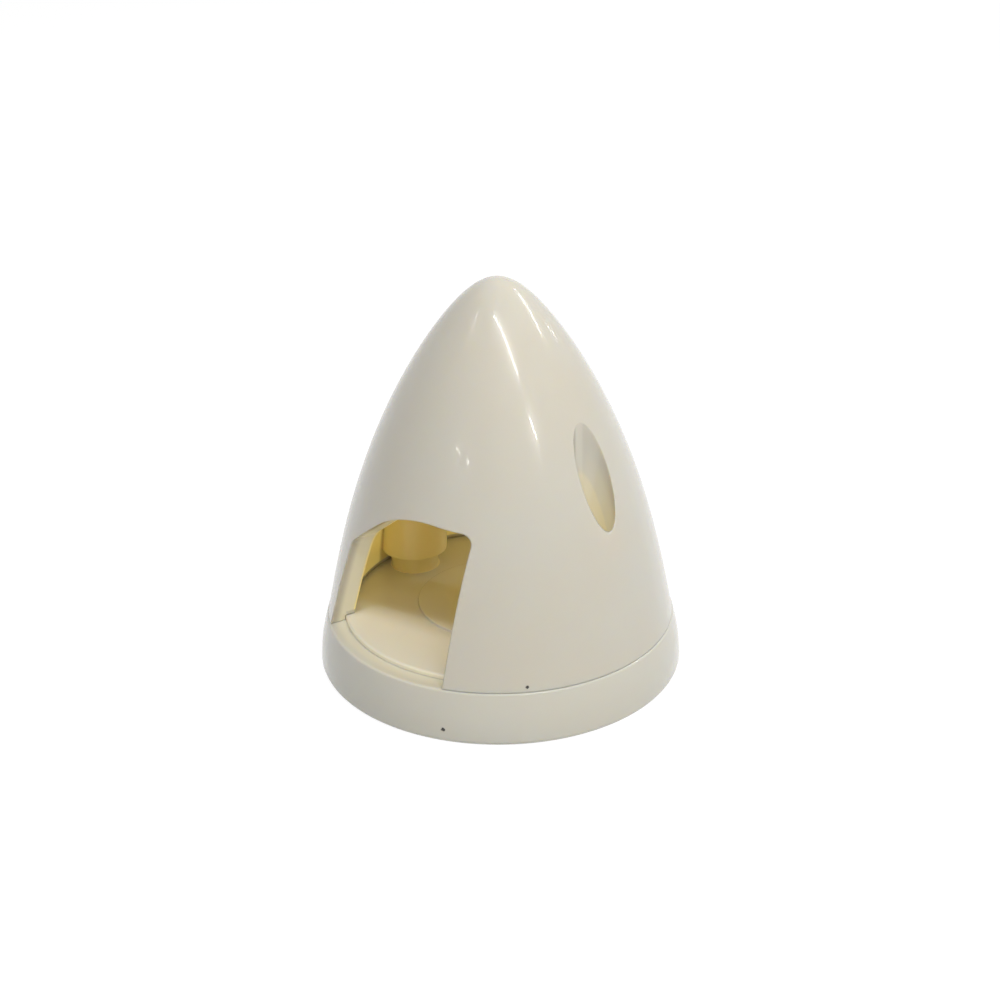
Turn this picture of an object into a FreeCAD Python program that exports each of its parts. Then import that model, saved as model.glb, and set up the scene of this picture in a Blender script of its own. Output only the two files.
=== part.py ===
import FreeCAD, Part
import math
import os

# Two-blade propeller spinner for a model aircraft, moulded in plastic.
# Millimetres. The origin is the centre of the backplate's rear face, and +Z is the spin axis
# towards the tip. The blade openings face -Y and +Y, the screw pockets lie at +X and -X.

# Backplate rim
rim_radius = 28.5
rim_top_radius = 27.15
rim_height = 8.1
rim_crown = 0.35
rim_wall = 2.7
rim_foot_round = 0.7
rim_edge_round = 0.45

# Backplate disc, which centres the cone on the rim
ledge_width = 2.65
register_height = 0.85
register_clearance = 0.12
register_chamfer = 0.35
web_thickness = 2.6

# Hub of the backplate, clamped between the propeller and the engine's drive washer
shaft_hole_radius = 3.25
hub_pad_radius = 12.9
hub_pad_height = 0.4
hub_boss_radius = 11.4
rib_count = 6
rib_thickness = 1.8
rib_bite = 0.5
core_draft_angle = 1.0

# Nose cone, outer form
cone_edge_step = 0.1
cone_height = 54.2
cone_middle_radius = 19.67
cone_side_angle = 11.2
tip_radius = 4.4
tip_share = 0.01
curve_arcs = 7

# Nose cone, wall
wall = 3.7
dome_share = 0.15
seat_clearance = 0.08

# Blade opening: x runs across it, heights are counted from the seam
opening_lead_x = 11.1
opening_lead_lean = 0.55
opening_lead_height = 22.53
opening_lead_round = 1.8
opening_crown_x = 0.1
opening_crown_height = 23.87
opening_crown_round = 17.0
opening_shoulder_x = -11.0
opening_shoulder_height = 15.4
opening_shoulder_round = 1.6
opening_trail_x = -14.9
opening_face_y = 21.4
opening_splay_angle = 14.7

# Screw pockets and the tubes that carry them, set in from the cone's foot
screw_inset = 8.05
pocket_radius = 3.1
tube_wall = 2.2
screw_hole_radius = 1.6
seat_thickness = 3.0

# Posts of the backplate, which the tubes stand on
post_radius = 3.85
post_height = 3.05
post_clearance = 0.2
pilot_radius = 1.25

# Pan-head self-tapping screws
head_radius = 2.75
head_height = 2.1
head_top_radius = 1.9
head_side_height = 1.1
shank_radius = 1.45
core_clearance = 0.03
screw_length = 12.0
screw_point_length = 1.6
screw_point_radius = 0.35
recess_reach = 1.55
recess_width = 0.75
recess_depth = 1.2
recess_floor_share = 0.45
recess_overrun = 0.1

# Levels and radii that follow
overrun = 2.0
seam_turn = 45
shortest_side = 0.001
axis_up = FreeCAD.Vector(0, 0, 1)
centre = FreeCAD.Vector(0, 0, 0)
register_radius = rim_top_radius - ledge_width
register_top = rim_height + register_height
hub_pad_top = register_top + hub_pad_height
web_bottom = register_top - web_thickness
cone_radius = rim_top_radius - cone_edge_step
cone_tip = rim_height + cone_height
screw_offset = cone_radius - screw_inset
lip_radius = register_radius + register_clearance
lip_ceiling = register_top + seat_clearance
tube_radius = pocket_radius + tube_wall
tube_bottom = register_top + post_height
screw_seat = tube_bottom + seat_thickness
core_spread = web_bottom * math.tan(math.radians(core_draft_angle))


def point(across, height, depth=0.0):
    return FreeCAD.Vector(across, depth, height)


def rounded_wire(corners):
    """Closed wire through (point, rounding) corners. Two roundings that share a side get half of it each."""
    count = len(corners)
    starts = []
    middles = []
    ends = []
    for index, (corner, rounding) in enumerate(corners):
        before, rounding_before = corners[index - 1]
        after, rounding_after = corners[(index + 1) % count]
        back = before - corner
        ahead = after - corner
        room_back = back.Length / 2 if rounding_before else back.Length
        room_ahead = ahead.Length / 2 if rounding_after else ahead.Length
        half_angle = back.getAngle(ahead) / 2
        setback = min(rounding / math.tan(half_angle), room_back, room_ahead)
        back.normalize()
        ahead.normalize()
        starts.append(corner + back * setback)
        ends.append(corner + ahead * setback)
        reach = setback / math.cos(half_angle) - setback * math.tan(half_angle)
        middles.append(corner + (back + ahead).normalize() * reach)
    edges = []
    for index, (corner, rounding) in enumerate(corners):
        if rounding > 0:
            edges.append(Part.Arc(starts[index], middles[index], ends[index]).toShape())
        side_end = starts[(index + 1) % count]
        if ends[index].distanceToPoint(side_end) > shortest_side:
            edges.append(Part.LineSegment(ends[index], side_end).toShape())
    return Part.Wire(edges)


def turned(wire):
    """Solid of revolution about the spin axis. Its seam lies between the pockets and the openings."""
    solid = Part.Face(wire).revolve(centre, axis_up, 360)
    solid.rotate(centre, axis_up, seam_turn)
    return solid


def column(radius, low, high, across=0.0):
    return Part.makeCylinder(radius, high - low, point(across, low))


def both_sides(shape):
    """The shape and its copy half a turn round the spin axis."""
    other = shape.copy()
    other.rotate(centre, axis_up, 180)
    return [shape, other]


def nose_coefficients():
    """Radius squared, as a share of the base's, is a quartic in the share of the way down from the tip."""
    tip = 2 * tip_radius * cone_height / cone_radius ** 2
    middle = (cone_middle_radius / cone_radius) ** 2
    side = 2 * cone_height * math.tan(math.radians(cone_side_angle)) / cone_radius
    # With the tip's term known, the whole, the slope at the base and the middle give the other three.
    whole_left = 1 - tip
    side_left = side - tip
    middle_left = 16 * middle - 8 * tip
    fourth = middle_left - 8 * whole_left + 2 * side_left
    third = side_left - 2 * whole_left - 2 * fourth
    second = whole_left - third - fourth
    return tip, second, third, fourth


def nose_section(share):
    """Radius, height and slope of the nose a share of the way down from the tip."""
    terms = nose_coefficients()
    square = sum(term * share ** (power + 1) for power, term in enumerate(terms))
    growth = sum((power + 1) * term * share ** power for power, term in enumerate(terms))
    radius = cone_radius * math.sqrt(square)
    slope = cone_radius ** 2 * growth / (2 * radius * cone_height)
    return radius, cone_tip - cone_height * share, slope


def nose_point(share, inset):
    """Point of the nose curve, moved inwards by the inset."""
    radius, height, slope = nose_section(share)
    run = math.hypot(1, slope)
    return point(radius - inset / run, height - inset * slope / run)


def nose_cap(share, inset):
    """Round cap from the spin axis to the nose curve, tangent to it."""
    foot = nose_point(share, inset)
    slope = nose_section(share)[2]
    run = math.hypot(1, slope)
    radius = foot.x * run
    cap_centre = foot.z - foot.x * slope
    half_turn = math.asin(1 / run) / 2
    middle = point(radius * math.sin(half_turn), cap_centre + radius * math.cos(half_turn))
    return Part.Arc(point(0, cap_centre + radius), middle, foot).toShape()


def nose_solid(start, inset):
    """A round cap, then arcs through points of the nose curve, turned into a solid with a flat foot."""
    first = math.sqrt(start)
    step = (1 - first) / curve_arcs
    edges = [nose_cap(start, inset)]
    for index in range(curve_arcs):
        shares = [(first + step * (index + part)) ** 2 for part in (0, 0.5, 1)]
        edges.append(Part.Arc(*[nose_point(share, inset) for share in shares]).toShape())
    foot = nose_point(1, inset)
    edges.append(Part.LineSegment(foot, point(0, foot.z)).toShape())
    edges.append(Part.LineSegment(point(0, foot.z), edges[0].Vertexes[0].Point).toShape())
    return turned(Part.Wire(edges))


def nose_cavity():
    """The hollow: a constant wall below, a rounded roof under the tip, and the rebate for the disc."""
    hollow = nose_solid(dome_share, wall)
    return hollow.fuse(column(lip_radius, rim_height - overrun, lip_ceiling))


def opening_outline(depth):
    """The blade opening's outline at a depth. Its trailing side is splayed, wider towards the outside."""
    splay = (depth - opening_face_y) * math.tan(math.radians(opening_splay_angle))
    below = rim_height - overrun
    lead_top_x = opening_lead_x + opening_lead_lean
    lean = (opening_trail_x - opening_shoulder_x) / opening_shoulder_height
    trail_below_x = opening_trail_x + lean * overrun
    corners = [
        (point(opening_lead_x, below, -depth), 0),
        (point(lead_top_x, rim_height + opening_lead_height, -depth), opening_lead_round),
        (point(opening_crown_x - splay, rim_height + opening_crown_height, -depth), opening_crown_round),
        (point(opening_shoulder_x - splay, rim_height + opening_shoulder_height, -depth),
         opening_shoulder_round),
        (point(trail_below_x - splay, below, -depth), 0),
    ]
    return rounded_wire(corners)


def blade_opening():
    """Cutter for one opening, from inside the hollow, clear of the tubes, to beyond the cone's foot."""
    inner = opening_outline(tube_radius + 2 * overrun)
    outer = opening_outline(cone_radius + overrun)
    return Part.makeLoft([inner, outer], True, True)


def nose_cone():
    tubes = both_sides(column(tube_radius, tube_bottom, cone_tip, screw_offset))
    shell = nose_solid(tip_share, 0).cut(nose_cavity().cut(tubes))
    relief_radius = post_radius + post_clearance
    cutters = both_sides(column(pocket_radius, screw_seat, cone_tip, screw_offset))
    cutters += both_sides(column(screw_hole_radius, rim_height, screw_seat + overrun, screw_offset))
    cutters += both_sides(column(relief_radius, rim_height, tube_bottom, screw_offset))
    cutters += both_sides(blade_opening())
    return shell.cut(cutters).removeSplitter()


def backplate_disc():
    """Rim, ledge, centring disc and hub in one turned profile, cored from behind."""
    core_radius = rim_radius - rim_wall
    crown_x = (rim_radius + rim_top_radius) / 2 + rim_crown
    crown_round = rim_height ** 2 / (8 * rim_crown)
    corners = [
        (point(shaft_hole_radius, 0), 0),
        (point(hub_boss_radius, 0), 0),
        (point(hub_boss_radius + core_spread, web_bottom), 0),
        (point(core_radius - core_spread, web_bottom), 0),
        (point(core_radius, 0), 0),
        (point(rim_radius, 0), rim_foot_round),
        (point(crown_x, rim_height / 2), crown_round),
        (point(rim_top_radius, rim_height), rim_edge_round),
        (point(register_radius, rim_height), 0),
        (point(register_radius, register_top - register_chamfer), 0),
        (point(register_radius - register_chamfer, register_top), 0),
        (point(hub_pad_radius, register_top), 0),
        (point(hub_pad_radius, hub_pad_top), 0),
        (point(shaft_hole_radius, hub_pad_top), 0),
    ]
    return turned(rounded_wire(corners))


def rear_ribs():
    """Ribs from the hub to the rim. Two of them run through the screw bosses."""
    length = rim_radius - rim_wall - hub_boss_radius + 2 * rib_bite
    ribs = []
    for index in range(rib_count):
        corner = FreeCAD.Vector(hub_boss_radius - rib_bite, -rib_thickness / 2, 0)
        rib = Part.makeBox(length, rib_thickness, web_bottom, corner)
        rib.rotate(centre, axis_up, 360 * index / rib_count)
        ribs.append(rib)
    return ribs


def backplate():
    """Disc, ribs, and two posts that run from the rear face up to the tubes."""
    posts = both_sides(column(post_radius, 0, tube_bottom, screw_offset))
    plate = backplate_disc().fuse(posts + rear_ribs())
    pilots = both_sides(column(pilot_radius, -overrun, tube_bottom + overrun, screw_offset))
    return plate.cut(pilots).removeSplitter()


def drive_recess():
    """Cross recess in the screw's head, narrowing towards its floor."""
    slots = []
    levels = ((head_height + recess_overrun, 1.0), (head_height - recess_depth, recess_floor_share))
    for turn in (0, 90):
        wires = []
        for height, share in levels:
            reach = recess_reach * share
            side = recess_width * (1 + share) / 4
            rim = [FreeCAD.Vector(-reach, -side, height), FreeCAD.Vector(reach, -side, height),
                   FreeCAD.Vector(reach, side, height), FreeCAD.Vector(-reach, side, height)]
            wires.append(Part.makePolygon(rim + rim[:1]))
        slot = Part.makeLoft(wires, True, True)
        slot.rotate(centre, axis_up, turn)
        slots.append(slot)
    return slots


def cone_screw():
    """Pan-head screw. Its core stands for the thread that is cut into the post."""
    core_radius = pilot_radius - core_clearance
    core_start = -seat_thickness + seat_clearance
    corners = [
        (point(0, -screw_length), 0),
        (point(screw_point_radius, -screw_length), 0),
        (point(core_radius, screw_point_length - screw_length), 0),
        (point(core_radius, core_start), 0),
        (point(shank_radius, core_start), 0),
        (point(shank_radius, 0), 0),
        (point(head_radius, 0), 0),
        (point(head_radius, head_side_height), 0),
        (point(head_top_radius, head_height), 0),
        (point(0, head_height), 0),
    ]
    screw = turned(rounded_wire(corners)).cut(drive_recess())
    screw.translate(point(screw_offset, screw_seat))
    return screw


nodes = {"nose_cone": nose_cone(), "backplate": backplate()}
for number, screw in enumerate(both_sides(cone_screw()), start=1):
    nodes["cone_screw_" + str(number)] = screw

os.makedirs("parts", exist_ok=True)
for name, shape in nodes.items():
    print(name, "solids", len(shape.Solids), "valid", shape.isValid(), "volume", round(shape.Volume))
    shape.exportStep("parts/" + name + ".step")
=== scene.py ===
import math
import time
import bmesh
import bpy
from mathutils import Matrix, Vector


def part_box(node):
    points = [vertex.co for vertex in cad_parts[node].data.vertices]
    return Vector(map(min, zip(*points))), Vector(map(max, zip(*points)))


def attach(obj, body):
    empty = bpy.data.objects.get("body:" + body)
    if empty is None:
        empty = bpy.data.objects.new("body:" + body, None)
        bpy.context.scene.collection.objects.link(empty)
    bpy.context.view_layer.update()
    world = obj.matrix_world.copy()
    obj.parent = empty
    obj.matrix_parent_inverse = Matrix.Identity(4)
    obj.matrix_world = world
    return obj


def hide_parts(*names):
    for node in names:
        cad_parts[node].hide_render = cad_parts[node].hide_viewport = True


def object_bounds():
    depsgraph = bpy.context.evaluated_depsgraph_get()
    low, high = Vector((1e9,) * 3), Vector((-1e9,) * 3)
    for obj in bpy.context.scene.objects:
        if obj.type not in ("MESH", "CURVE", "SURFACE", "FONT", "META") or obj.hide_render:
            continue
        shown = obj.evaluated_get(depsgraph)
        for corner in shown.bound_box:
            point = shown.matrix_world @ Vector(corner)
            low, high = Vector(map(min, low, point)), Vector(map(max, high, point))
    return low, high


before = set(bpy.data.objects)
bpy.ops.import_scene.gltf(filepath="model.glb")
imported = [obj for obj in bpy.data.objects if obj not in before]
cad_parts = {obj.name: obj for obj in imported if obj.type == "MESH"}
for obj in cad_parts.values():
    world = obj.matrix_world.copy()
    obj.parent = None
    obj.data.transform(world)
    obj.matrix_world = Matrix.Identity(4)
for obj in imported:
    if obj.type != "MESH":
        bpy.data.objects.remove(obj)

mm = 0.001
fullTurn = 2 * math.pi
startTime = time.monotonic()
joinReach = 0.001 * mm  # points closer than this are one point
pastCut = 1 * mm        # how far a cutter runs on past what it cuts
wholeSide = 0.999       # share of an outline's side that a rounding may take
cadLow, cadHigh = [Vector(corner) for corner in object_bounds()]
coneLow, coneHigh = [Vector(corner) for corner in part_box("nose_cone")]
screwLow, screwHigh = [Vector(corner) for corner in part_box("cone_screw_1")]
screwAcross = (screwLow.x + screwHigh.x) / 2


class Wire:
    # one socket of a node tree: arithmetic on it adds Math nodes
    def __init__(self, tree, socket=None):
        self.tree = tree
        self.socket = socket

    def node(self, kind, settings=None, sockets=None, output=0):
        # settings come first, then values or links; a list goes into one socket that takes several links
        made = self.tree.nodes.new(kind)
        for name, value in (settings or {}).items():
            if name == "stops":
                for stop, (place, colour) in zip(made.color_ramp.elements, value):
                    stop.position = place
                    stop.color = colour
            else:
                setattr(made, name, value)
        for name, value in (sockets or {}).items():
            for one in value if isinstance(value, list) else [value]:
                if isinstance(one, Wire):
                    self.tree.links.new(one.socket, made.inputs[name])
                else:
                    made.inputs[name].default_value = one
        return Wire(self.tree, made.outputs[output])

    def other(self, output):
        return Wire(self.tree, self.socket.node.outputs[output])

    def math(self, operation, *values):
        return self.node("ShaderNodeMath", {"operation": operation}, dict(enumerate(values)))

    def __add__(self, value):
        return self.math("ADD", self, value)

    def __radd__(self, value):
        return self.math("ADD", value, self)

    def __sub__(self, value):
        return self.math("SUBTRACT", self, value)

    def __rsub__(self, value):
        return self.math("SUBTRACT", value, self)

    def __mul__(self, value):
        return self.math("MULTIPLY", self, value)

    def __rmul__(self, value):
        return self.math("MULTIPLY", value, self)

    def __truediv__(self, value):
        return self.math("DIVIDE", self, value)

    def __rtruediv__(self, value):
        return self.math("DIVIDE", value, self)

    def __neg__(self):
        return self.math("MULTIPLY", self, -1.0)

    def ramp(self, low, high):
        # 0 at low, 1 at high, smooth between them
        settings = {"interpolation_type": "SMOOTHSTEP"}
        return self.node("ShaderNodeMapRange", settings, {"Value": self, "From Min": low, "From Max": high})

    def vector(self, operation, *values, output=0):
        return self.node("ShaderNodeVectorMath", {"operation": operation}, dict(enumerate(values)), output)


def blend(first, second, share):
    return share.node("ShaderNodeMix", {"data_type": "RGBA"}, {0: share, 6: first, 7: second}, 2)


def squareRoot(value):
    return value.math("SQRT", value) if isinstance(value, Wire) else math.sqrt(value)


# The nose curve: radius squared is a quartic in the share of the way down from the tip
noseShape = {
    "height": 54.2 * mm,         # from the seam to the formula's tip
    "middleRadius": 19.67 * mm,  # half way up
    "sideAngle": 11.2,           # lean of the flank at the seam, degrees
    "tipRadius": 4.4 * mm,       # how blunt the tip is
    "capShare": 0.01,            # a round cap ends the tip above this share
    "wall": 3.7 * mm,
    "domeShare": 0.15,           # the hollow's roof is round above this share
    "pocket": 3.1 * mm,          # radius of the screw pockets
}
sideSlope = math.tan(math.radians(noseShape["sideAngle"]))


def noseTerms(sizes):
    # the four factors of the quartic, from sizes that are plain numbers or sockets
    tip = 2 * sizes["tipRadius"] * sizes["height"] / (sizes["footRadius"] * sizes["footRadius"])
    middle = sizes["middleRadius"] / sizes["footRadius"]
    side = 2 * sizes["height"] * sizes["sideSlope"] / sizes["footRadius"]
    wholeLeft = 1 - tip
    sideLeft = side - tip
    middleLeft = 16 * (middle * middle) - 8 * tip
    fourth = middleLeft - 8 * wholeLeft + 2 * sideLeft
    third = sideLeft - 2 * wholeLeft - 2 * fourth
    second = wholeLeft - third - fourth
    return tip, second, third, fourth


def nosePoint(sizes, terms, share, inset=0.0):
    # radius, height, slope and slant of the nose curve, moved inwards by the inset
    first, second, third, fourth = terms
    square = share * (first + share * (second + share * (third + share * fourth)))
    growth = first + share * (2 * second + share * (3 * third + share * (4 * fourth)))
    radius = sizes["footRadius"] * squareRoot(square)
    slope = sizes["footRadius"] * sizes["footRadius"] * growth / (2 * radius * sizes["height"])
    slant = squareRoot(1 + slope * slope)
    low = sizes["tipLevel"] - sizes["height"] * share - inset * slope / slant
    return radius - inset / slant, low, slope, slant


def shapeTree(name, sizes, takesMesh=False):
    # a geometry tree with one named input for each size
    tree = bpy.data.node_groups.new(name, "GeometryNodeTree")
    tree.interface.new_socket("Geometry", in_out="OUTPUT", socket_type="NodeSocketGeometry")
    if takesMesh:
        tree.interface.new_socket("Geometry", in_out="INPUT", socket_type="NodeSocketGeometry")
    kinds = {int: "NodeSocketInt", float: "NodeSocketFloat"}
    for label, value in sizes.items():
        tree.interface.new_socket(label, in_out="INPUT", socket_type=kinds[type(value)])
    wire = Wire(tree)
    start = wire.node("NodeGroupInput")
    return wire, {label: start.other(label) for label in list(sizes) + ["Geometry"] * takesMesh}


def endTree(wire, geometry, material):
    solid = wire.node("GeometryNodeRealizeInstances", None, {"Geometry": geometry})
    named = wire.node("GeometryNodeSetMaterial", None, {"Geometry": solid, "Material": material})
    end = wire.tree.nodes.new("NodeGroupOutput")
    wire.tree.links.new(named.socket, end.inputs[0])


def runTree(wire, sizes, mesh=None):
    # runs the tree on a mesh and gives back the plain mesh that comes out
    carrier = bpy.data.objects.new("carrier", mesh or bpy.data.meshes.new("carrier"))
    bpy.context.collection.objects.link(carrier)
    modifier = carrier.modifiers.new("shape", "NODES")
    modifier.node_group = wire.tree
    for item in wire.tree.interface.items_tree:
        if item.in_out == "INPUT" and item.name in sizes:
            modifier[item.identifier] = sizes[item.name]
    made = plainMesh(carrier)
    bpy.data.objects.remove(carrier)
    return made


def plainMesh(thing):
    graph = bpy.context.evaluated_depsgraph_get()
    ready = thing.evaluated_get(graph)
    return bpy.data.meshes.new_from_object(ready, preserve_all_data_layers=True, depsgraph=graph)


def column(wire, radius, low, high, across, sides):
    sockets = {"Vertices": sides, "Radius": radius, "Depth": high - low}
    solid = wire.node("GeometryNodeMeshCylinder", None, sockets)
    middle = (low + high) / 2
    place = wire.node("ShaderNodeCombineXYZ", None, {"X": across, "Z": middle})
    return wire.node("GeometryNodeTransform", None, {"Geometry": solid, "Translation": place})


def bothSides(wire, radius, low, high, across, sides):
    return [column(wire, radius, low, high, reach, sides) for reach in (across, -across)]


def cutFrom(wire, body, cutters):
    settings = {"operation": "DIFFERENCE", "solver": "EXACT"}
    return wire.node("GeometryNodeMeshBoolean", settings, {"Mesh 1": body, "Mesh 2": cutters})


def joined(wire, solids):
    settings = {"operation": "UNION", "solver": "EXACT"}
    return wire.node("GeometryNodeMeshBoolean", settings, {"Mesh 2": solids})


def aroundAxis(wire, thing, radius, count, level):
    # copies of a thing round the spin axis, each turned to face outwards
    ring = wire.node("GeometryNodeMeshCircle", None, {"Vertices": count, "Radius": radius})
    lift = wire.node("ShaderNodeCombineXYZ", None, {"Z": level})
    ring = wire.node("GeometryNodeTransform", None, {"Geometry": ring, "Translation": lift})
    turn = wire.node("GeometryNodeInputIndex") * fullTurn / count
    facing = wire.node("ShaderNodeCombineXYZ", None, {"Z": turn})
    sockets = {"Points": ring, "Instance": thing, "Rotation": facing}
    placed = wire.node("GeometryNodeInstanceOnPoints", None, sockets)
    return wire.node("GeometryNodeRealizeInstances", None, {"Geometry": placed})


def noseSolid(wire, sizes, terms, start, inset, columns, rows):
    # a grid wrapped round the spin axis: a round cap, the nose curve, then a flat foot
    counts = {"Size X": 1.0, "Size Y": 1.0, "Vertices X": columns + 1, "Vertices Y": rows + 1}
    grid = wire.node("GeometryNodeMeshGrid", None, counts)
    spot = wire.node("ShaderNodeSeparateXYZ", None, {0: wire.node("GeometryNodeInputPosition")})
    turn = (spot + 0.5) * fullTurn  # the grid runs from -0.5 to 0.5
    down = spot.other("Y") + 0.5
    halfRow = 0.5 / rows
    travel = wire.math("MINIMUM", down * rows / (rows - 1), 1.0)
    capTravel = 0.12  # share of the rows that the cap takes
    along = (wire.math("MAXIMUM", travel, capTravel) - capTravel) / (1 - capTravel)
    first = wire.math("SQRT", start)
    root = first + along * (1 - first)
    radius, level, slope, slant = nosePoint(sizes, terms, root * root, inset)
    capFoot, capLevel, capSlope, capSlant = nosePoint(sizes, terms, start, inset)
    capRadius = capFoot * capSlant
    lean = wire.math("ARCSINE", 1 / capSlant) * travel / capTravel
    onCap = wire.math("LESS_THAN", travel, capTravel)
    capRise = capRadius * wire.math("COSINE", lean) + capLevel - capFoot * capSlope
    radius = radius + onCap * (capRadius * wire.math("SINE", lean) - radius)
    level = level + onCap * (capRise - level)
    radius = radius * wire.math("LESS_THAN", down, 1 - halfRow)  # the last row closes the foot
    sockets = {"X": radius * wire.math("COSINE", turn), "Y": radius * wire.math("SINE", turn), "Z": level}
    place = wire.node("ShaderNodeCombineXYZ", None, sockets)
    wrapped = wire.node("GeometryNodeSetPosition", None, {"Geometry": grid, "Position": place})
    closed = wire.node("GeometryNodeMergeByDistance", None, {"Geometry": wrapped, "Distance": joinReach})
    return wire.node("GeometryNodeFlipFaces", None, {"Mesh": closed})


def roundedOutline(corners, steps=8):
    # closed outline through (x, y, rounding) corners, each rounding drawn with a few steps
    points = []
    for index, (x, y, rounding) in enumerate(corners):
        corner = Vector((x, y))
        back = Vector(corners[index - 1][:2]) - corner
        ahead = Vector(corners[(index + 1) % len(corners)][:2]) - corner
        if not rounding:
            points.append(corner)
            continue
        half = back.angle(ahead) / 2
        roomBack = back.length / 2 if corners[index - 1][2] else back.length
        roomAhead = ahead.length / 2 if corners[(index + 1) % len(corners)][2] else ahead.length
        setback = min(rounding / math.tan(half), roomBack * wholeSide, roomAhead * wholeSide)
        radius = setback * math.tan(half)
        middle = corner + (back.normalized() + ahead.normalized()).normalized() * (radius / math.sin(half))
        start = corner + back.normalized() * setback - middle
        sweep = start.angle_signed(corner + ahead.normalized() * setback - middle)
        for step in range(steps + 1):
            points.append(middle + Matrix.Rotation(-sweep * step / steps, 2) @ start)
    return points


def newMesh(name, vertices, faces):
    mesh = bpy.data.meshes.new(name)
    mesh.from_pydata(vertices, [], faces)
    mesh.validate()
    return tidied(mesh, joinReach)


def tidied(mesh, reach):
    # doubled points merged and faces turned outwards
    tidy = bmesh.new()
    tidy.from_mesh(mesh)
    bmesh.ops.remove_doubles(tidy, verts=tidy.verts, dist=reach)
    bmesh.ops.dissolve_degenerate(tidy, edges=tidy.edges, dist=reach)
    bmesh.ops.recalc_face_normals(tidy, faces=tidy.faces)
    tidy.to_mesh(mesh)
    tidy.free()
    return mesh


def turnedMesh(name, outline, columns):
    # the outline of (radius, height) points turned round the spin axis
    count = len(outline)
    vertices = []
    for column in range(columns):
        angle = fullTurn * column / columns
        vertices += [(x * math.cos(angle), x * math.sin(angle), z) for x, z in outline]
    faces = []
    for column in range(columns):
        here, there = column * count, (column + 1) % columns * count
        for row in range(count):
            after = (row + 1) % count
            faces.append((here + row, there + row, there + after, here + after))
    return newMesh(name, vertices, faces)


def finishedPiece(name, mesh, node, material, sharpAngle=30.0):
    # a plain mesh becomes the piece that stands for a CAD node
    tidied(mesh, joinReach)
    mesh.name = name
    mesh.shade_smooth()
    mesh.set_sharp_from_angle(angle=math.radians(sharpAngle))
    if not mesh.materials:
        mesh.materials.append(material)
    piece = bpy.data.objects.new(name, mesh)
    bpy.context.collection.objects.link(piece)
    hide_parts(node)
    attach(piece, "root")
    print(name + ":", len(mesh.polygons), "faces,", round(time.monotonic() - startTime), "s")
    return piece


# Finishes: depths are counted inwards from the outer face, levels up from the floor, reaches from an axis
creamPlastic = {
    "body": (0.525, 0.502, 0.43, 1),
    "warm": (0.525, 0.487, 0.4, 1),  # in soft clouds over the body colour
    "cloudScale": 45.0,
    "cloudStart": 0.3,
    "cloudEnd": 0.7,
    # painted light: the inside is tinted golden for the daylight that comes through the wall and bounces
    # round the hollow
    "inside": (0.85, 0.725, 0.36, 1),
    # painted light: the disc is paler to stand in for the lamps' light on the floor
    "disc": (0.62, 0.592, 0.5, 1),
    "goldLightStart": 3.3 * mm,       # depth where the painted golden light of the inside begins
    "goldLightEnd": 3.75 * mm,
    "glow": (1.0, 0.78, 0.2, 1),  # painted glow: daylight that comes through the wall
    "tubeGlow": 0.12,            # share of it on the tubes
    "insideMatt": 0.16,          # the inside is this much rougher
    "jambLight": (0.6, 0.565, 0.45, 1),  # the cut face of the wall in the openings, painted paler as painted light
    "jambGlow": (0.85, 0.78, 0.5, 1),
    "tipLeft": 1.2 * mm,         # no wall is seen above this depth under the tip
    "footLevel": 7.9 * mm,       # the ledge is painted as warm as the jamb, as painted light too, but only the jamb glows
    "glowLevel": 8.15 * mm,
    "jambStart": 0.5 * mm,
    "jambEnd": 1.8 * mm,
    "tubeReach": 5.4 * mm,
    "tubeFade": 1.15,            # the full glow comes back at this many times the reach
    "pocketEdge": 0.3 * mm,
    "pocketDepth": 2.0 * mm,
    "pocketGlow": (0.85, 0.72, 0.38, 1),
    "pocketPale": 0.8,
    "glowStrength": 0.19,
    "glowStart": 42.0 * mm,      # the pockets glow from here downwards
    "glowEnd": 27.0 * mm,
    "fade": 0.2 * mm,            # width over which one colour gives way to the next
    "floorLevel": 9.5 * mm,      # the disc and its pad below this stay pale, out of the painted golden light
    "floorFade": 0.4 * mm,
    "postReach": 3.9 * mm,
    "discLevel": 8.6 * mm,       # and the disc itself is painted paler than the rim, as painted light where the lamps reach the floor
    "discReach": 24.3 * mm,
    "edgeRound": 0.3 * mm,
    "speck": (0.035, 0.03, 0.028, 1),
    "speckScale": 3500.0,        # raggedness of the specks' edges
    "speckCore": 0.55,
    "roughness": 0.2,
    "smearScale": 130.0,         # uneven gloss, drawn out along the axis
    "smearStretch": (1, 1, 0.35),
    "smearRange": 0.12,
    "peelScale": 900.0,          # fine and broad waves of the moulded skin
    "waveScale": 120.0,
    "peelStrength": 0.12,
    "peelHeight": 0.02 * mm,
    "coat": 0.35,
    "coatRoughness": 0.035,
    "translucence": 0.35,
    "depth": 2.2 * mm,
    "depthTint": (1.0, 0.6, 0.2),
}
platePlasticTones = dict(creamPlastic, body=(0.525, 0.512, 0.445, 1), warm=(0.525, 0.5, 0.42, 1))
dirtSpecks = [  # place and radius of the dark specks near the seam and on the rim
    ((20.99 * mm, -16.89 * mm, 8.95 * mm), 0.34 * mm),
    ((12.13 * mm, -25.55 * mm, 2.1 * mm), 0.38 * mm),
]


def newMaterial(name):
    material = bpy.data.materials.new(name)
    material.use_nodes = True
    tree = material.node_tree
    tree.nodes.clear()
    return material, Wire(tree)


def endMaterial(wire, shader):
    end = wire.tree.nodes.new("ShaderNodeOutputMaterial")
    wire.tree.links.new(shader.socket, end.inputs["Surface"])


def noise(place, scale, detail=2.0, roughness=0.5, stretch=(1, 1, 1)):
    pulled = place.vector("MULTIPLY", place, stretch)
    sockets = {"Vector": pulled, "Scale": scale, "Detail": detail, "Roughness": roughness}
    return place.node("ShaderNodeTexNoise", None, sockets)


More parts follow.
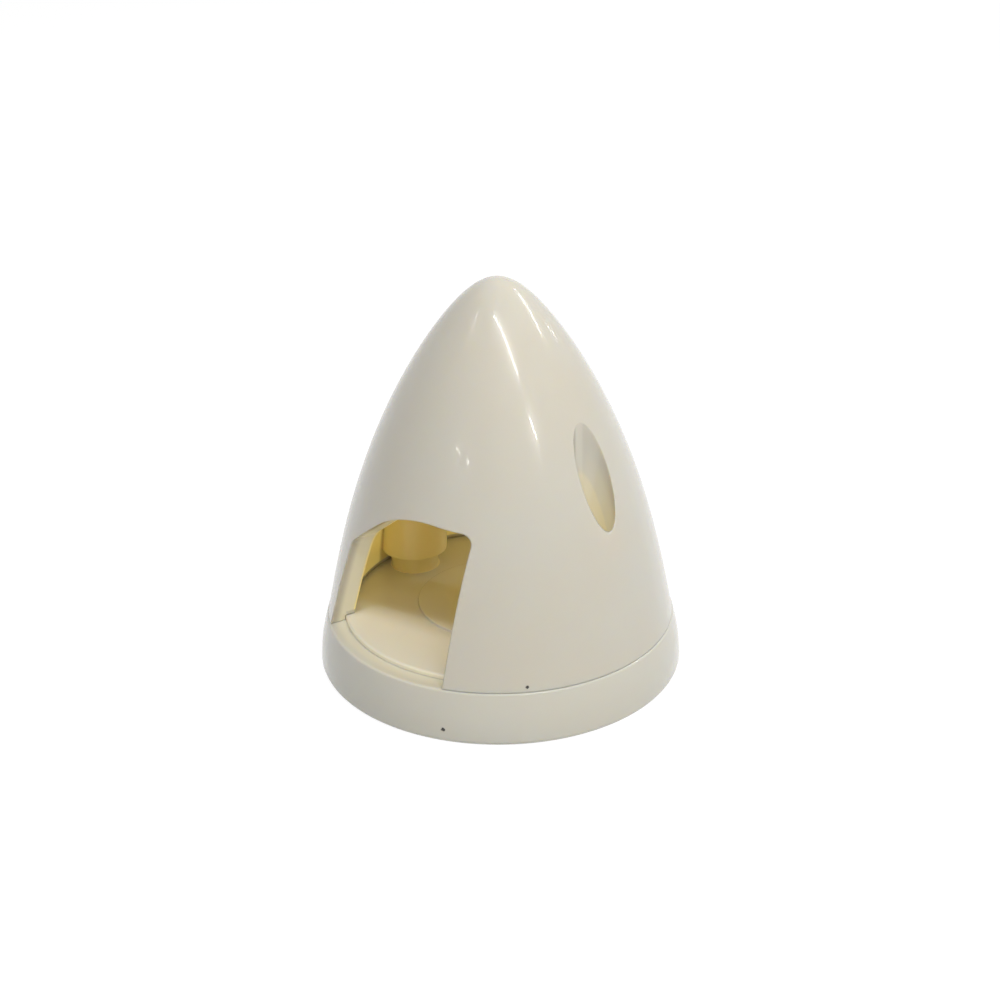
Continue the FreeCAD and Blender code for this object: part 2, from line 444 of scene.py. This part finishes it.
def speckMask(place, tones, centre, radius):
    near = place.vector("DISTANCE", place, centre, output="Value")
    ragged = near + (noise(place, tones["speckScale"]) - 0.5) * radius
    return ragged.ramp(radius, radius * tones["speckCore"])


def plasticMaterial(name, tones, sizes):
    material, wire = newMaterial(name)
    place = wire.node("ShaderNodeTexCoord", output="Object")
    spot = wire.node("ShaderNodeSeparateXYZ", None, {0: place})
    reach = wire.math("SQRT", spot * spot + spot.other("Y") * spot.other("Y"))
    shaped = dict(sizes, footRadius=coneHigh.x, tipLevel=coneLow.z + sizes["height"], sideSlope=sideSlope)
    share = (shaped["tipLevel"] - spot.other("Z")) / shaped["height"]
    share = wire.math("MINIMUM", wire.math("MAXIMUM", share, sizes["capShare"]), 1.0)
    outer = nosePoint(shaped, noseTerms(shaped), share)[0]
    underTip = spot.other("Z").ramp(cadHigh.z - tones["tipLeft"], cadHigh.z - 2 * tones["tipLeft"])
    depth = (outer - reach) * underTip
    aside = wire.math("ABSOLUTE", spot) - screwAcross
    fromScrew = wire.math("SQRT", aside * aside + spot.other("Y") * spot.other("Y"))
    pocket = fromScrew.ramp(sizes["pocket"] + tones["pocketEdge"], sizes["pocket"])
    above = spot.other("Z").ramp(tones["floorLevel"], tones["floorLevel"] + tones["floorFade"])
    onPost = fromScrew.ramp(tones["postReach"] + tones["fade"], tones["postReach"])
    above = wire.math("MAXIMUM", above, onPost)
    # painted light: the golden tint for light through the wall, kept off the floor and mostly out of the
    # pockets
    inside = depth.ramp(tones["goldLightStart"], tones["goldLightEnd"]) * above * (1 - pocket * tones["pocketPale"])
    cloud = noise(place, tones["cloudScale"], 3.0)
    colour = blend(tones["body"], tones["warm"], cloud.ramp(tones["cloudStart"], tones["cloudEnd"]))
    # painted light: the disc and its pad painted paler, for the lamps' light on the floor
    litDiscShare = spot.other("Z").ramp(tones["discLevel"], tones["discLevel"] + tones["fade"])
    litDiscShare = litDiscShare * reach.ramp(tones["discReach"] + tones["fade"], tones["discReach"]) * (1 - above)
    colour = blend(colour, tones["disc"], litDiscShare)
    # painted light: the jambs, and the ledge below them, painted paler
    foot = spot.other("Z").ramp(tones["footLevel"] - tones["fade"], tones["footLevel"])
    foot = foot * reach.ramp(tones["discReach"], tones["discReach"] + tones["fade"])
    jambLight = depth.ramp(tones["jambStart"], tones["jambEnd"]) * (1 - pocket) * wire.math("MAXIMUM", above, foot)
    colour = blend(colour, tones["jambLight"], jambLight)
    colour = blend(colour, tones["inside"], inside)
    for centre, radius in dirtSpecks:
        colour = blend(colour, tones["speck"], speckMask(place, tones, centre, radius))
    # painted glow: emission stands in for daylight through the wall, on the inside, on the jambs and deep in
    # the pockets
    offTube = fromScrew.ramp(tones["tubeReach"], tones["tubeFade"] * tones["tubeReach"])
    shining = inside * (tones["tubeGlow"] + (1 - tones["tubeGlow"]) * offTube)
    pocketGlowShare = spot.other("Z").ramp(tones["glowStart"], tones["glowEnd"]) * pocket
    pocketGlowShare = pocketGlowShare * depth.ramp(0.0, tones["pocketDepth"])
    offLedge = spot.other("Z").ramp(tones["glowLevel"], tones["glowLevel"] + tones["fade"])
    lit = jambLight * (1 - inside) * offLedge
    glow = blend(blend((0, 0, 0, 1), tones["jambGlow"], lit), tones["glow"], shining)
    glow = blend(glow, tones["pocketGlow"], pocketGlowShare)
    smear = noise(place, tones["smearScale"], 4.0, 0.6, tones["smearStretch"])
    gloss = tones["roughness"] + (smear - 0.5) * tones["smearRange"] + inside * tones["insideMatt"]
    peel = noise(place, tones["peelScale"], 2.0) * 0.5 + noise(place, tones["waveScale"], 1.0)
    soft = wire.node("ShaderNodeBevel", {"samples": 6}, {"Radius": tones["edgeRound"]})
    skin = {"Strength": tones["peelStrength"], "Distance": tones["peelHeight"]}
    bump = wire.node("ShaderNodeBump", None, {**skin, "Height": peel, "Normal": soft})
    sockets = {
        "Base Color": colour,
        "Roughness": gloss,
        "Normal": bump,
        "Emission Color": glow,
        "Emission Strength": tones["glowStrength"],
        "Subsurface Weight": tones["translucence"],
        "Subsurface Radius": tones["depthTint"],
        "Subsurface Scale": tones["depth"],
        "IOR": 1.5,
        "Coat Weight": tones["coat"],
        "Coat Roughness": tones["coatRoughness"],
    }
    endMaterial(wire, wire.node("ShaderNodeBsdfPrincipled", None, sockets))
    return material


zincSteel = {
    "bright": (0.66, 0.66, 0.64, 1),
    "dull": (0.48, 0.48, 0.47, 1),
    "dullScale": 700.0,
    "dullStart": 0.35,
    "dullEnd": 0.7,
    "grainScale": 2500.0,
    "grainStrength": 0.2,
    "grainHeight": 0.01 * mm,
    "roughness": 0.3,
    "roughnessRange": 0.15,
}


def steelMaterial(name, tones):
    material, wire = newMaterial(name)
    place = wire.node("ShaderNodeTexCoord", output="Object")
    grain = noise(place, tones["grainScale"], 3.0)
    dulled = noise(place, tones["dullScale"], 3.0).ramp(tones["dullStart"], tones["dullEnd"])
    colour = blend(tones["bright"], tones["dull"], dulled)
    sockets = {"Strength": tones["grainStrength"], "Distance": tones["grainHeight"], "Height": grain}
    bump = wire.node("ShaderNodeBump", None, sockets)
    gloss = tones["roughness"] + grain * tones["roughnessRange"]
    sockets = {"Base Color": colour, "Metallic": 1.0, "Roughness": gloss, "Normal": bump}
    endMaterial(wire, wire.node("ShaderNodeBsdfPrincipled", None, sockets))
    return material


conePlastic = plasticMaterial("conePlastic", creamPlastic, noseShape)
platePlastic = plasticMaterial("platePlastic", platePlasticTones, noseShape)
screwSteel = steelMaterial("screwSteel", zincSteel)
print("materials made")


# Blade opening, the same both sides: x runs across it and heights are counted from the seam
openingShape = {
    "leadX": 11.1 * mm, "leadLean": 0.55 * mm, "leadHeight": 22.53 * mm, "leadRound": 1.8 * mm,
    "crownX": 0.1 * mm, "crownHeight": 23.87 * mm, "crownRound": 17.0 * mm,
    "shoulderX": -11.0 * mm, "shoulderHeight": 15.4 * mm, "shoulderRound": 1.6 * mm,
    "trailX": -14.9 * mm,
    "faceY": 21.4 * mm,           # depth at which the outline has its named size
    "splay": 14.7,                # the trailing side opens outwards, degrees
    "insideY": 16.5 * mm,         # from here inwards the shoulder is rounder
    "insideRound": 9.0 * mm,
    "overrun": 2.0 * mm,
    "steps": 12,
}
coneCuts = {
    "Pocket Radius": 3.1 * mm, "Tube Radius": 5.3 * mm, "Tube Bottom": 12.0 * mm, "Screw Seat": 15.0 * mm,
    "Screw Hole": 1.6 * mm, "Post Relief": 4.05 * mm, "Lip Radius": 24.62 * mm, "Lip Ceiling": 9.03 * mm,
}
coneGrid = {"Columns": 160, "Rows": 80, "Sides": 64}


def openingOutline(depth, shoulderRound):
    cut = openingShape
    splay = (depth - cut["faceY"]) * math.tan(math.radians(cut["splay"]))
    lean = (cut["trailX"] - cut["shoulderX"]) / cut["shoulderHeight"]
    corners = [
        (cut["leadX"], -cut["overrun"], 0),
        (cut["leadX"] + cut["leadLean"], cut["leadHeight"], cut["leadRound"]),
        (cut["crownX"] - splay, cut["crownHeight"], cut["crownRound"]),
        (cut["shoulderX"] - splay, cut["shoulderHeight"], shoulderRound),
        (cut["trailX"] + lean * cut["overrun"] - splay, -cut["overrun"], 0),
    ]
    return [(x, -depth, coneLow.z + z) for x, z in roundedOutline(corners, cut["steps"])]


def openingCutter():
    # both openings in one mesh: outlines joined from inside the hollow to beyond the cone
    cut = openingShape
    start, end = coneCuts["Tube Radius"] + 2 * cut["overrun"], coneHigh.x + cut["overrun"]
    rounds = {start: cut["insideRound"], cut["insideY"]: cut["insideRound"],
              cut["faceY"]: cut["shoulderRound"], end: cut["shoulderRound"]}
    vertices, faces = [], []
    for half in (1, -1):
        first = len(vertices)
        for depth, shoulderRound in rounds.items():
            outline = openingOutline(depth, shoulderRound)
            vertices += [(half * x, half * y, z) for x, y, z in outline]
        count = len(outline)
        last = len(vertices) - count
        faces += [list(range(first, first + count)), list(range(last, last + count))]
        for ring in range(first, last, count):
            for step in range(count):
                after = (step + 1) % count
                faces.append((ring + step, ring + count + step, ring + count + after, ring + after))
    return newMesh("openingCutter", vertices, faces)


def makeNoseCone():
    sizes = {
        "Foot Radius": float(coneHigh.x), "Foot Level": float(coneLow.z), "Height": noseShape["height"],
        "Middle Radius": noseShape["middleRadius"], "Side Slope": sideSlope,
        "Tip Radius": noseShape["tipRadius"], "Wall": noseShape["wall"], "Screw Across": float(screwAcross),
        **coneGrid, **coneCuts,
    }
    wire, given = shapeTree("noseCone", sizes, takesMesh=True)
    shaped = {
        "height": given["Height"], "footRadius": given["Foot Radius"], "middleRadius": given["Middle Radius"],
        "sideSlope": given["Side Slope"], "tipRadius": given["Tip Radius"],
        "tipLevel": given["Foot Level"] + given["Height"],
    }
    terms = noseTerms(shaped)
    grid = (given["Columns"], given["Rows"])
    body = noseSolid(wire, shaped, terms, noseShape["capShare"], 0.0, *grid)
    hollow = noseSolid(wire, shaped, terms, noseShape["domeShare"], given["Wall"], *grid)
    across, sides = given["Screw Across"], given["Sides"]
    low, high = given["Foot Level"] - openingShape["overrun"], shaped["tipLevel"]
    tubes = bothSides(wire, given["Tube Radius"], given["Tube Bottom"], high, across, sides)
    rebate = column(wire, given["Lip Radius"], low, given["Lip Ceiling"], 0.0, given["Columns"])
    pockets = bothSides(wire, given["Pocket Radius"], given["Screw Seat"], high, across, sides)
    holes = bothSides(wire, given["Screw Hole"], low, given["Screw Seat"] + pastCut, across, sides)
    reliefs = bothSides(wire, given["Post Relief"], low, given["Tube Bottom"], across, sides)
    cuts = [cutFrom(wire, hollow, tubes), rebate, given["Geometry"]] + pockets + holes + reliefs
    endTree(wire, cutFrom(wire, body, cuts), conePlastic)
    mesh = runTree(wire, sizes, openingCutter())
    return finishedPiece("noseCone", mesh, "nose_cone", conePlastic)


makeNoseCone()


# Backplate: a turned disc with a tapered rim, cored behind between its ribs, and two posts for the screws
plateShape = {
    "rimRadius": 28.5 * mm, "rimTopRadius": 27.15 * mm, "rimHeight": 8.1 * mm, "rimCrown": 0.35 * mm,
    "rimWall": 2.7 * mm, "footRound": 0.7 * mm, "edgeRound": 0.45 * mm,
    "discRadius": 24.5 * mm, "discLevel": 8.95 * mm, "discRound": 0.35 * mm, "web": 2.6 * mm,
    "padRadius": 12.9 * mm, "padLevel": 9.35 * mm, "padRound": 0.15 * mm,
    "hubRadius": 11.4 * mm, "shaftHole": 3.25 * mm, "holeRound": 0.3 * mm, "draft": 1.0,
    "columns": 192,
}
plateParts = {
    "Post Radius": 3.85 * mm, "Post Top": 12.0 * mm, "Pilot Radius": 1.25 * mm, "Pilot Floor": -1.0 * mm,
    "Rib Thickness": 1.8 * mm, "Rib Bite": 0.5 * mm, "Rib Step": 0.02 * mm, "Ribs": 6, "Sides": 64,
}


def plateProfile():
    plate = plateShape
    webBottom = plate["discLevel"] - plate["web"]
    core = plate["rimRadius"] - plate["rimWall"]
    spread = webBottom * math.tan(math.radians(plate["draft"]))
    crownX = (plate["rimRadius"] + plate["rimTopRadius"]) / 2 + plate["rimCrown"]
    crownRound = plate["rimHeight"] ** 2 / (8 * plate["rimCrown"])
    return roundedOutline([
        (plate["shaftHole"], 0, plate["holeRound"]),
        (plate["hubRadius"], 0, plate["holeRound"]),
        (plate["hubRadius"] + spread, webBottom, plate["holeRound"]),
        (core - spread, webBottom, plate["holeRound"]),
        (core, 0, plate["holeRound"]),
        (plate["rimRadius"], 0, plate["footRound"]),
        (crownX, plate["rimHeight"] / 2, crownRound),
        (plate["rimTopRadius"], plate["rimHeight"], plate["edgeRound"]),
        (plate["discRadius"], plate["rimHeight"], 0),
        (plate["discRadius"], plate["discLevel"], plate["discRound"]),
        (plate["padRadius"], plate["discLevel"], plate["padRound"]),
        (plate["padRadius"], plate["padLevel"], plate["padRound"]),
        (plate["shaftHole"], plate["padLevel"], plate["holeRound"]),
    ])


def makeBackplate():
    plate = plateShape
    reach = plate["rimRadius"] - plate["rimWall"] - plate["hubRadius"]
    sizes = {
        "Screw Across": float(screwAcross), "Rib Reach": reach, "Rib Middle": plate["hubRadius"] + reach / 2,
        "Rib Height": plate["discLevel"] - plate["web"], **plateParts,
    }
    wire, given = shapeTree("backplate", sizes, takesMesh=True)
    across, sides = given["Screw Across"], given["Sides"]
    posts = bothSides(wire, given["Post Radius"], 0.0, given["Post Top"], across, sides)
    size = wire.node("ShaderNodeCombineXYZ", None, {
        "X": given["Rib Reach"] + 2 * given["Rib Bite"], "Y": given["Rib Thickness"],
        "Z": given["Rib Height"] + given["Rib Bite"]})
    rib = wire.node("GeometryNodeMeshCube", None, {"Size": size})
    level = (given["Rib Height"] + given["Rib Bite"]) / 2 + given["Rib Step"]
    ribs = aroundAxis(wire, rib, given["Rib Middle"], given["Ribs"], level)
    body = joined(wire, [given["Geometry"], ribs] + posts)
    overTop = given["Post Top"] + pastCut
    pilots = bothSides(wire, given["Pilot Radius"], given["Pilot Floor"], overTop, across, sides)
    endTree(wire, cutFrom(wire, body, pilots), platePlastic)
    mesh = runTree(wire, sizes, turnedMesh("plateDisc", plateProfile(), plate["columns"]))
    return finishedPiece("backplateDisc", mesh, "backplate", platePlastic)


makeBackplate()


# Pan-head self-tapping screws: heights are counted from the seat under the head
screwShape = {
    "headRadius": 2.75 * mm, "headHeight": 2.1 * mm, "headSide": 1.1 * mm, "headRound": 0.8 * mm,
    "crownRadius": 1.6 * mm, "underRound": 0.12 * mm,
    "shankRadius": 1.45 * mm, "shankLength": 2.92 * mm, "coreRadius": 1.0 * mm,
    "length": 12.0 * mm, "pointLength": 1.8 * mm, "pointRadius": 0.3 * mm, "columns": 48,
    "threadSides": 4,
}
screwParts = {
    "Thread Radius": 1.2 * mm, "Thread Height": 0.28 * mm, "Thread Start": -10.4 * mm,
    "Thread Reach": 7.2 * mm, "Turns": 7.0, "Turn Steps": 20,
    "Recess Reach": 3.1 * mm, "Recess Width": 0.7 * mm, "Recess Depth": 1.2 * mm, "Recess Taper": 0.45,
    "Head Height": 2.1 * mm,
}


def screwProfile():
    screw = screwShape
    return roundedOutline([
        (0, -screw["length"], 0),
        (screw["pointRadius"], -screw["length"], screw["underRound"]),
        (screw["coreRadius"], screw["pointLength"] - screw["length"], screw["underRound"]),
        (screw["coreRadius"], -screw["shankLength"], 0),
        (screw["shankRadius"], -screw["shankLength"], screw["underRound"]),
        (screw["shankRadius"], 0, 0),
        (screw["headRadius"], 0, screw["underRound"]),
        (screw["headRadius"], screw["headSide"], screw["headRound"]),
        (screw["crownRadius"], screw["headHeight"], screw["headRound"]),
        (0, screw["headHeight"], 0),
    ])


def recessArm(wire, given, turn):
    # one arm of the cross: a cone stretched flat, narrowing towards the recess's floor
    depth = given["Recess Depth"]
    sockets = {"Vertices": 4, "Radius Top": 1.0, "Radius Bottom": given["Recess Taper"], "Depth": depth * 2}
    arm = wire.node("GeometryNodeMeshCone", None, sockets)
    squared = wire.node("ShaderNodeCombineXYZ", None, {"Z": fullTurn / 8})
    arm = wire.node("GeometryNodeTransform", None, {"Geometry": arm, "Rotation": squared})
    side = math.sqrt(0.5)  # half a side of the square whose corners are 1 from its middle
    stretch = wire.node("ShaderNodeCombineXYZ", None, {
        "X": given["Recess Reach"] * side, "Y": given["Recess Width"] * side, "Z": 1.0})
    lift = wire.node("ShaderNodeCombineXYZ", None, {"Z": given["Head Height"] - depth})
    facing = wire.node("ShaderNodeCombineXYZ", None, {"Z": turn})
    sockets = {"Geometry": arm, "Scale": stretch, "Translation": lift, "Rotation": facing}
    return wire.node("GeometryNodeTransform", None, sockets)


def makeScrews():
    wire, given = shapeTree("coneScrew", screwParts, takesMesh=True)
    arms = [recessArm(wire, given, turn) for turn in (0.0, fullTurn / 4)]
    head = cutFrom(wire, given["Geometry"], arms)
    sockets = {
        "Resolution": given["Turn Steps"], "Rotations": given["Turns"], "Height": given["Thread Reach"],
        "Start Radius": given["Thread Radius"], "End Radius": given["Thread Radius"],
    }
    path = wire.node("GeometryNodeCurveSpiral", None, sockets)
    lift = wire.node("ShaderNodeCombineXYZ", None, {"Z": given["Thread Start"]})
    path = wire.node("GeometryNodeTransform", None, {"Geometry": path, "Translation": lift})
    sockets = {"Resolution": screwShape["threadSides"], "Radius": given["Thread Height"]}
    section = wire.node("GeometryNodeCurvePrimitiveCircle", None, sockets)
    sockets = {"Curve": path, "Profile Curve": section, "Fill Caps": True}
    thread = wire.node("GeometryNodeCurveToMesh", None, sockets)
    both = wire.node("GeometryNodeJoinGeometry", None, {"Geometry": [head, thread]})
    endTree(wire, both, screwSteel)
    profile = turnedMesh("screwBlank", screwProfile(), screwShape["columns"])
    seat = screwHigh.z - screwShape["headHeight"]
    for number, across in ((1, screwAcross), (2, -screwAcross)):
        mesh = runTree(wire, screwParts, profile.copy())
        mesh.transform(Matrix.Translation((across, 0, seat)))
        node = "cone_screw_" + str(number)
        finishedPiece("coneScrew" + str(number), mesh, node, screwSteel)


makeScrews()
print("pieces made")


# Studio: the camera and lights are given by azimuth (0 at +X, anticlockwise) and elevation in degrees
view = {
    "azimuth": -47.0, "elevation": 25.31, "distance": 285 * mm, "aim": 28.0 * mm, "roll": -0.575,
    "lens": 66.83, "shiftX": 0.00093, "shiftY": -0.00992, "nearest": 5 * mm,
}
studio = {
    "lampAim": 40 * mm,      # height that the lamps are turned to
    "floorReach": 3.0,
    "floorDim": (0.6, 0.6, 0.6, 1),     # what the floor throws back at the part
    "floorMatt": (0.86, 0.86, 0.86, 1),  # what shows the part's shadow
    "floorWhite": 1.08,
    "floorWhiteShare": 0.82,
    "skyLight": 0.07,
    "skySeen": 1.0,
}


def heading(azimuth, elevation):
    a, e = math.radians(azimuth), math.radians(elevation)
    return Vector((math.cos(a) * math.cos(e), math.sin(a) * math.cos(e), math.sin(e)))


def makeCamera():
    lens = bpy.data.cameras.new("camera")
    camera = bpy.data.objects.new("camera", lens)
    bpy.context.collection.objects.link(camera)
    back = heading(view["azimuth"], view["elevation"])
    turn = back.to_track_quat("Z", "Y").to_matrix() @ Matrix.Rotation(math.radians(view["roll"]), 3, "Z")
    stand = Vector((0, 0, view["aim"])) + back * view["distance"]
    camera.matrix_world = Matrix.Translation(stand) @ turn.to_4x4()
    lens.lens = view["lens"]
    lens.shift_x = view["shiftX"]
    lens.shift_y = view["shiftY"]
    lens.clip_start = view["nearest"]
    bpy.context.scene.camera = camera


# Each lamp runs between two headings, as a ceiling tube does; width and distance in metres
lamps = {
    "ceilingTube": {"ends": ((-61.9, 65.6), (-14.2, 41.0)), "width": 0.025, "distance": 1.3, "watts": 3.0},
    "windowTube": {"ends": ((87.0, 43.5), (53.0, 30.7)), "width": 0.02, "distance": 1.6, "watts": 3.2},
    "smallTube": {"ends": ((76.8, 18.8), (78.6, 15.8)), "width": 0.01, "distance": 1.6, "watts": 0.25},
    "leftTube": {"ends": ((-124.1, 54.0), (-114.6, 44.6)), "width": 0.012, "distance": 1.6, "watts": 0.4},
    "lowTube": {"ends": ((-9.8, 30.8), (-5.8, 25.5)), "width": 0.008, "distance": 1.6, "watts": 1.0},
    "leftSpark": {"ends": ((-91.0, 23.4), (-86.0, 23.1)), "width": 0.01, "distance": 1.6, "watts": 0.12},
    "rightSpark": {"ends": ((-77.6, 22.8), (-76.4, 22.8)), "width": 0.03, "distance": 1.6, "watts": 0.08},
    "backLight": {"ends": ((70.0, 60.0), (115.0, 60.0)), "width": 0.1, "distance": 1.3, "watts": 1.8,
                  "mirrored": False},
    "softbox": {"ends": ((-50.0, 36.0), (40.0, 36.0)), "width": 1.0, "distance": 1.8, "watts": 14.5,
                "mirrored": False},
    "keyLight": {"ends": ((-75.0, 62.0), (-45.0, 72.0)), "width": 0.25, "distance": 1.3, "watts": 8.0,
                 "mirrored": False},
}


def makeLamp(name, lamp):
    light = bpy.data.lights.new(name, "AREA")
    light.shape = "RECTANGLE"
    aim = Vector((0, 0, studio["lampAim"]))
    ends = [aim + heading(*end) * lamp["distance"] for end in lamp["ends"]]
    middle = (ends[0] + ends[1]) / 2
    back = (middle - aim).normalized()
    along = (ends[1] - ends[0]).normalized()
    side = back.cross(along).normalized()
    along = side.cross(back)
    light.size = (ends[1] - ends[0]).length
    light.size_y = lamp["width"]
    light.energy = lamp["watts"]
    thing = bpy.data.objects.new(name, light)
    thing.matrix_world = Matrix.Translation(middle) @ Matrix((along, side, back)).transposed().to_4x4()
    thing.visible_glossy = lamp.get("mirrored", True)
    bpy.context.collection.objects.link(thing)


def seenDirectly(wire):
    # 1 where the camera, a reflection or a view through the part sees the surface
    path = wire.node("ShaderNodeLightPath", output="Is Camera Ray")
    seen = wire.math("MAXIMUM", path, path.other("Is Glossy Ray"))
    return wire.math("MAXIMUM", seen, path.other("Is Transmission Ray"))


def makeFloor():
    material, wire = newMaterial("studioFloor")
    dim = wire.node("ShaderNodeBsdfDiffuse", None, {"Color": studio["floorDim"]})
    matt = wire.node("ShaderNodeBsdfDiffuse", None, {"Color": studio["floorMatt"]})
    white = wire.node("ShaderNodeEmission", None, {"Strength": studio["floorWhite"]})
    pale = wire.node("ShaderNodeMixShader", None, {0: studio["floorWhiteShare"], 1: matt, 2: white})
    endMaterial(wire, wire.node("ShaderNodeMixShader", None, {0: seenDirectly(wire), 1: dim, 2: pale}))
    reach = studio["floorReach"]
    sides = ((-reach, -reach), (reach, -reach), (reach, reach), (-reach, reach))
    corners = [(x, y, cadLow.z) for x, y in sides]
    floor = bpy.data.objects.new("floor", newMesh("floor", corners, [(0, 1, 2, 3)]))
    bpy.context.collection.objects.link(floor)
    floor.data.materials.append(material)


def makeWorld():
    world = bpy.data.worlds.new("studio")
    bpy.context.scene.world = world
    world.use_nodes = True
    world.node_tree.nodes.clear()
    wire = Wire(world.node_tree)
    soft = wire.node("ShaderNodeBackground", None, {"Color": (1, 1, 1, 1), "Strength": studio["skyLight"]})
    white = wire.node("ShaderNodeBackground", None, {"Color": (1, 1, 1, 1), "Strength": studio["skySeen"]})
    both = wire.node("ShaderNodeMixShader", None, {0: seenDirectly(wire), 1: soft, 2: white})
    end = world.node_tree.nodes.new("ShaderNodeOutputWorld")
    world.node_tree.links.new(both.socket, end.inputs["Surface"])


makeCamera()
for name, lamp in lamps.items():
    makeLamp(name, lamp)
makeFloor()
makeWorld()
bpy.context.scene.view_settings.view_transform = "Standard"
print("studio made")
